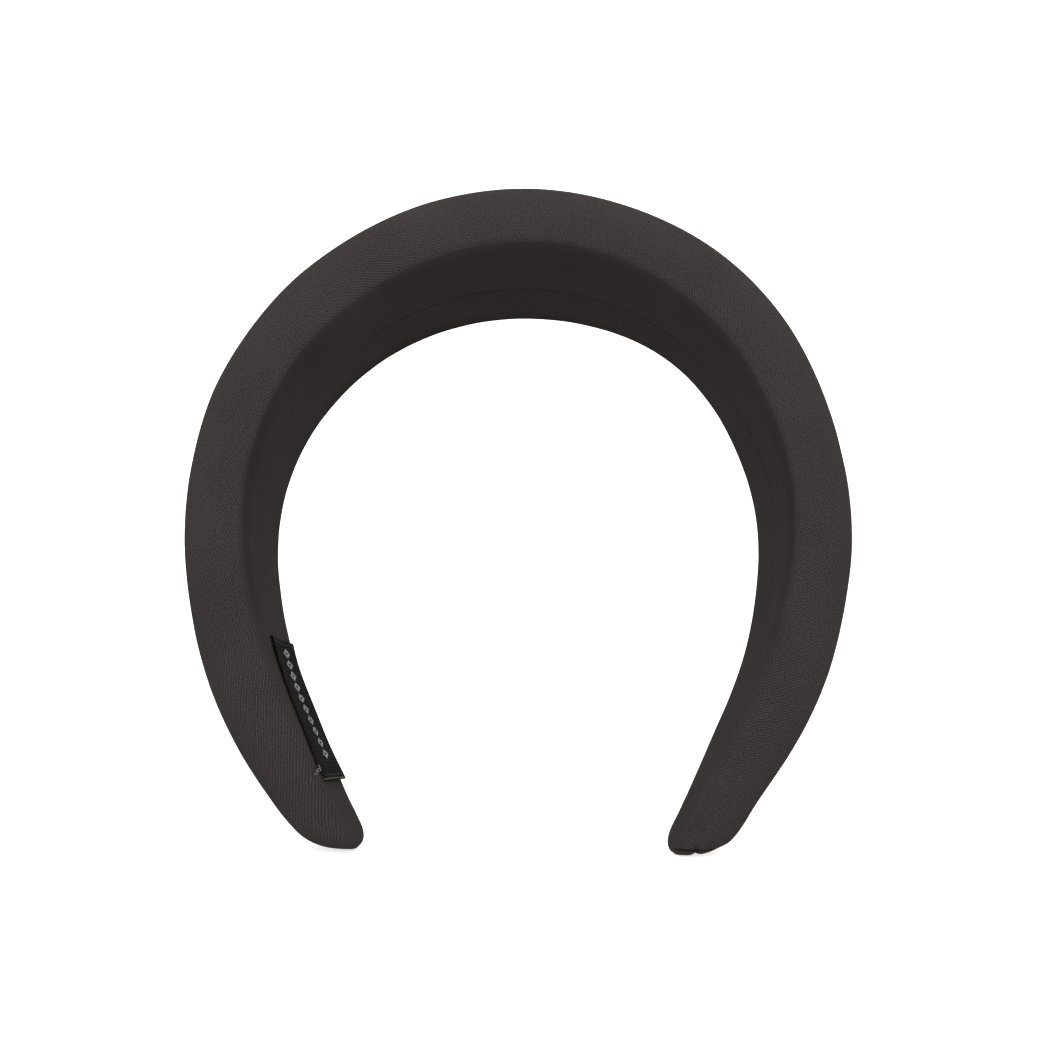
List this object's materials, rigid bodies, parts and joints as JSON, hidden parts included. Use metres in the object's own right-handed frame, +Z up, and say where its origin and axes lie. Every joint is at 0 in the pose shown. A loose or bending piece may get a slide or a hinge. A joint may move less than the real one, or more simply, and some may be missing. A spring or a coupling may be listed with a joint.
{
  "type": "padded headband",
  "caption": "Wide padded hair band: a sprung plastic hoop and foam pad inside a sewn woven cover, tapering to closed tips, with a small woven label inside one arm.",
  "frame": {"origin": "on the surface it stands on, midway between the two tips", "axes": "+Z up through the top of the crown, +X across the arch from the arm with the label to the plain arm, +Y to the back of the band"},
  "size_m": [0.1626, 0.0398, 0.164],
  "materials": {
    "hoop_plastic": "matt moulded plastic",
    "felt": "thin felt",
    "foam": "open-cell foam",
    "cover_fabric": "fine charcoal twill",
    "thread": "spun sewing thread",
    "label_fabric": "black damask-woven tape"
  },
  "bodies": {
    "root": {"hoop": "hoop_plastic", "inner_felt": "felt", "foam_pad": "foam", "cover": "cover_fabric", "seam_thread": "thread", "label": "label_fabric", "label_stitches_upper": "thread", "label_stitches_lower": "thread", "tip_stitches_left": "thread", "tip_stitches_right": "thread"}
  },
  "joints": []
}
